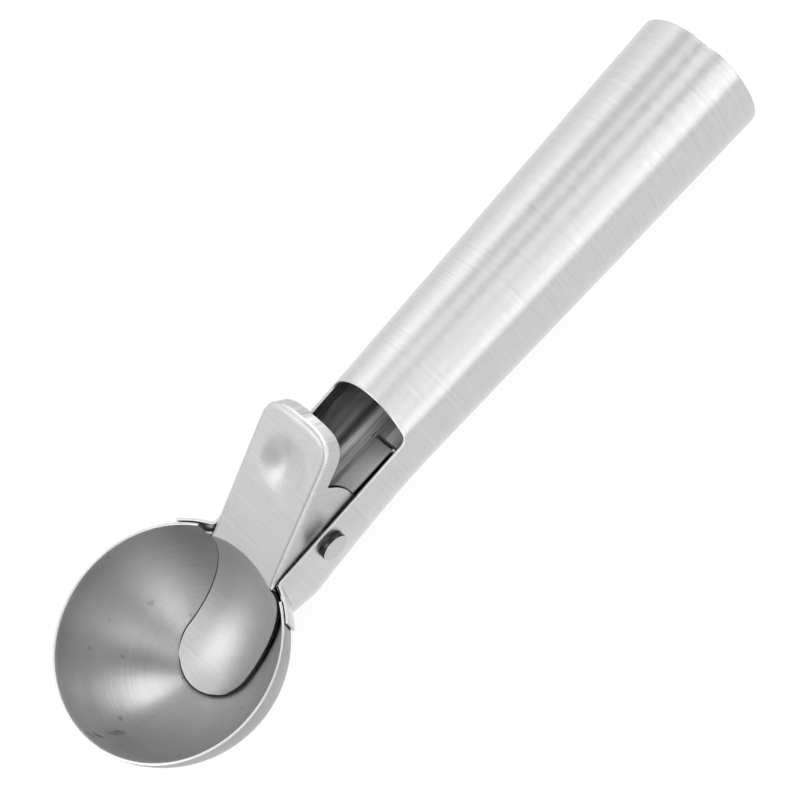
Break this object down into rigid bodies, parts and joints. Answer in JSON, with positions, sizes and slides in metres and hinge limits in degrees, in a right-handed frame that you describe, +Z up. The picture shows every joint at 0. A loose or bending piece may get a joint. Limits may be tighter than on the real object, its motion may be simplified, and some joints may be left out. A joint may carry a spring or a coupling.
{
  "type": "ice cream scoop",
  "caption": "Stainless steel ice cream scoop: hemispherical bowl on a tapered tube handle, with a sprung thumb lever whose tongue lifts the ball out of the bowl.",
  "frame": {"origin": "centre of the underside's bounding box, on the ground that the bowl and the end of the handle rest on", "axes": "+X along the handle away from the bowl, +Z up out of the bowl's mouth, +Y completes a right-handed frame"},
  "size_m": [0.1936, 0.0512, 0.0457],
  "materials": {
    "bowl_steel": "spun stainless steel with faint circular marks",
    "handle_steel": "stainless steel brushed round the tube",
    "lever_steel": "stainless steel brushed across the lever",
    "pin_steel": "plain stainless steel",
    "spring_steel": "cold rolled spring steel strip"
  },
  "bodies": {
    "handle": {"handle_shell": "handle_steel", "bowl": "bowl_steel", "handle_end_cap": "handle_steel", "pivot_pin": "pin_steel", "return_spring": "spring_steel"},
    "lever": {"thumb_lever": "lever_steel"}
  },
  "joints": [
    {"name": "lever_pivot", "type": "hinge", "parent": "handle", "child": "lever", "pos_m": [-0.034, 0, 0.02186], "axis": [0, 1, 0], "range_deg": [0, 38], "stiffness_Nm_per_rad": 0.12, "springref_deg": -28.65, "deforming": ["return_spring"]}
  ]
}
